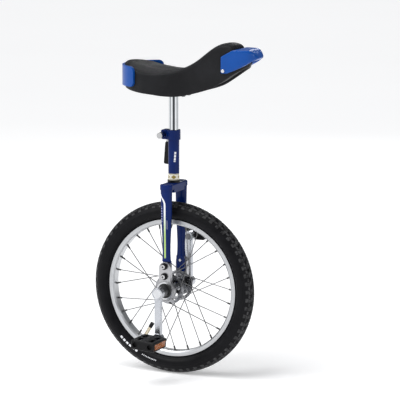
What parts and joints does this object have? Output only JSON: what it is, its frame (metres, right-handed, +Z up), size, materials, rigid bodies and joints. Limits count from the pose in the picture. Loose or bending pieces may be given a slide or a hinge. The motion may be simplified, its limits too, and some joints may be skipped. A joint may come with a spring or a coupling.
{
  "type": "unicycle",
  "caption": "Small-wheel unicycle: forked frame on bolted bearing holders, spoked wheel with cranks and platform pedals, and a padded saddle on a clamped post.",
  "frame": {"origin": "where the tyre touches the ground, below the middle of the hub", "axes": "+X the rider's forward, +Y the rider's left along the axle, +Z up"},
  "size_m": [0.4174, 0.334, 0.769],
  "materials": {
    "frame_paint": "gloss",
    "tyre_rubber": "matte",
    "tube_rubber": "matte",
    "rim_alloy": "satin",
    "spoke_steel": "satin",
    "nipple_steel": "satin",
    "hub_chrome": "polished",
    "bearing_steel": "polished",
    "dark_steel": "satin",
    "holder_alloy": "satin",
    "bolt_steel": "polished",
    "black_washer": "satin",
    "crank_alloy": "polished",
    "black_plastic": "matte",
    "seal_rubber": "matte",
    "brass": "satin",
    "amber": "gloss",
    "post_chrome": "polished",
    "cover_vinyl": "matte",
    "foam": "matte",
    "guard_blue": "gloss",
    "clamp_paint": "gloss",
    "grip_plastic": "matte",
    "plate_paint": "satin"
  },
  "bodies": {
    "frame": {"seat_tube": "frame_paint", "fork_crown": "frame_paint", "crown_ring": "grip_plastic", "right_leg": "frame_paint", "left_leg": "frame_paint", "right_bearing_holder": "holder_alloy", "left_bearing_holder": "holder_alloy", "holder_bolts": "bolt_steel", "holder_washers": "black_washer", "bearing_outer_races": "bearing_steel", "bearing_balls": "bearing_steel", "bearing_cages": "brass", "bearing_seals": "seal_rubber", "clamp_collar": "clamp_paint", "clamp_skewer": "bolt_steel", "cam_washer": "grip_plastic", "lever_pin": "bolt_steel"},
    "wheel": {"tyre": "tyre_rubber", "inner_tube": "tube_rubber", "rim_tape": "tube_rubber", "rim": "rim_alloy", "spokes": "spoke_steel", "spoke_nipples": "nipple_steel", "valve_stem": "brass", "valve_cap": "black_plastic", "hub_barrel": "hub_chrome", "right_hub_flange": "hub_chrome", "left_hub_flange": "hub_chrome", "axle": "dark_steel", "inner_spacers": "dark_steel", "outer_spacers": "dark_steel", "bearing_inner_races": "bearing_steel", "right_crank": "crank_alloy", "left_crank": "crank_alloy", "crank_bolts": "dark_steel", "dust_caps": "bolt_steel", "right_pedal_spindle": "dark_steel", "left_pedal_spindle": "dark_steel", "spindle_nuts": "dark_steel"},
    "right_pedal": {"right_pedal_body": "black_plastic", "right_pedal_bushes": "brass", "right_pedal_reflectors": "amber", "right_pedal_end_cap": "black_plastic"},
    "left_pedal": {"left_pedal_body": "black_plastic", "left_pedal_bushes": "brass", "left_pedal_reflectors": "amber", "left_pedal_end_cap": "black_plastic"},
    "saddle": {"seatpost": "post_chrome", "saddle_plate": "plate_paint", "saddle_studs": "dark_steel", "plate_nuts": "dark_steel", "saddle_base": "black_plastic", "saddle_foam": "foam", "saddle_cover": "cover_vinyl", "rear_bumper": "guard_blue", "front_guard": "guard_blue", "guard_screws": "bolt_steel"},
    "clamp_lever": {"clamp_lever": "bolt_steel", "lever_grip": "grip_plastic"},
    "clamp_nut": {"clamp_nut": "bolt_steel"}
  },
  "joints": [
    {"name": "wheel_spin", "type": "hinge", "parent": "frame", "child": "wheel", "pos_m": [0, 0, 0.1995], "axis": [0, 1, 0], "continuous": true},
    {"name": "right_pedal_spin", "type": "hinge", "parent": "wheel", "child": "right_pedal", "pos_m": [0, -0.133, 0.0945], "axis": [0, 1, 0], "continuous": true},
    {"name": "left_pedal_spin", "type": "hinge", "parent": "wheel", "child": "left_pedal", "pos_m": [0, 0.133, 0.3045], "axis": [0, 1, 0], "continuous": true},
    {"name": "seat_height", "type": "slide", "parent": "frame", "child": "saddle", "axis": [0, 0, 1], "range_m": [-0.043, 0.045]},
    {"name": "lever_swing", "type": "hinge", "parent": "frame", "child": "clamp_lever", "pos_m": [-0.0225, 0.017, 0.5523], "axis": [0.9966, 0, -0.0819], "range_deg": [0, 130]},
    {"name": "nut_turn", "type": "hinge", "parent": "frame", "child": "clamp_nut", "pos_m": [-0.0225, -0.0183, 0.5523], "axis": [0, -1, 0], "continuous": true}
  ]
}
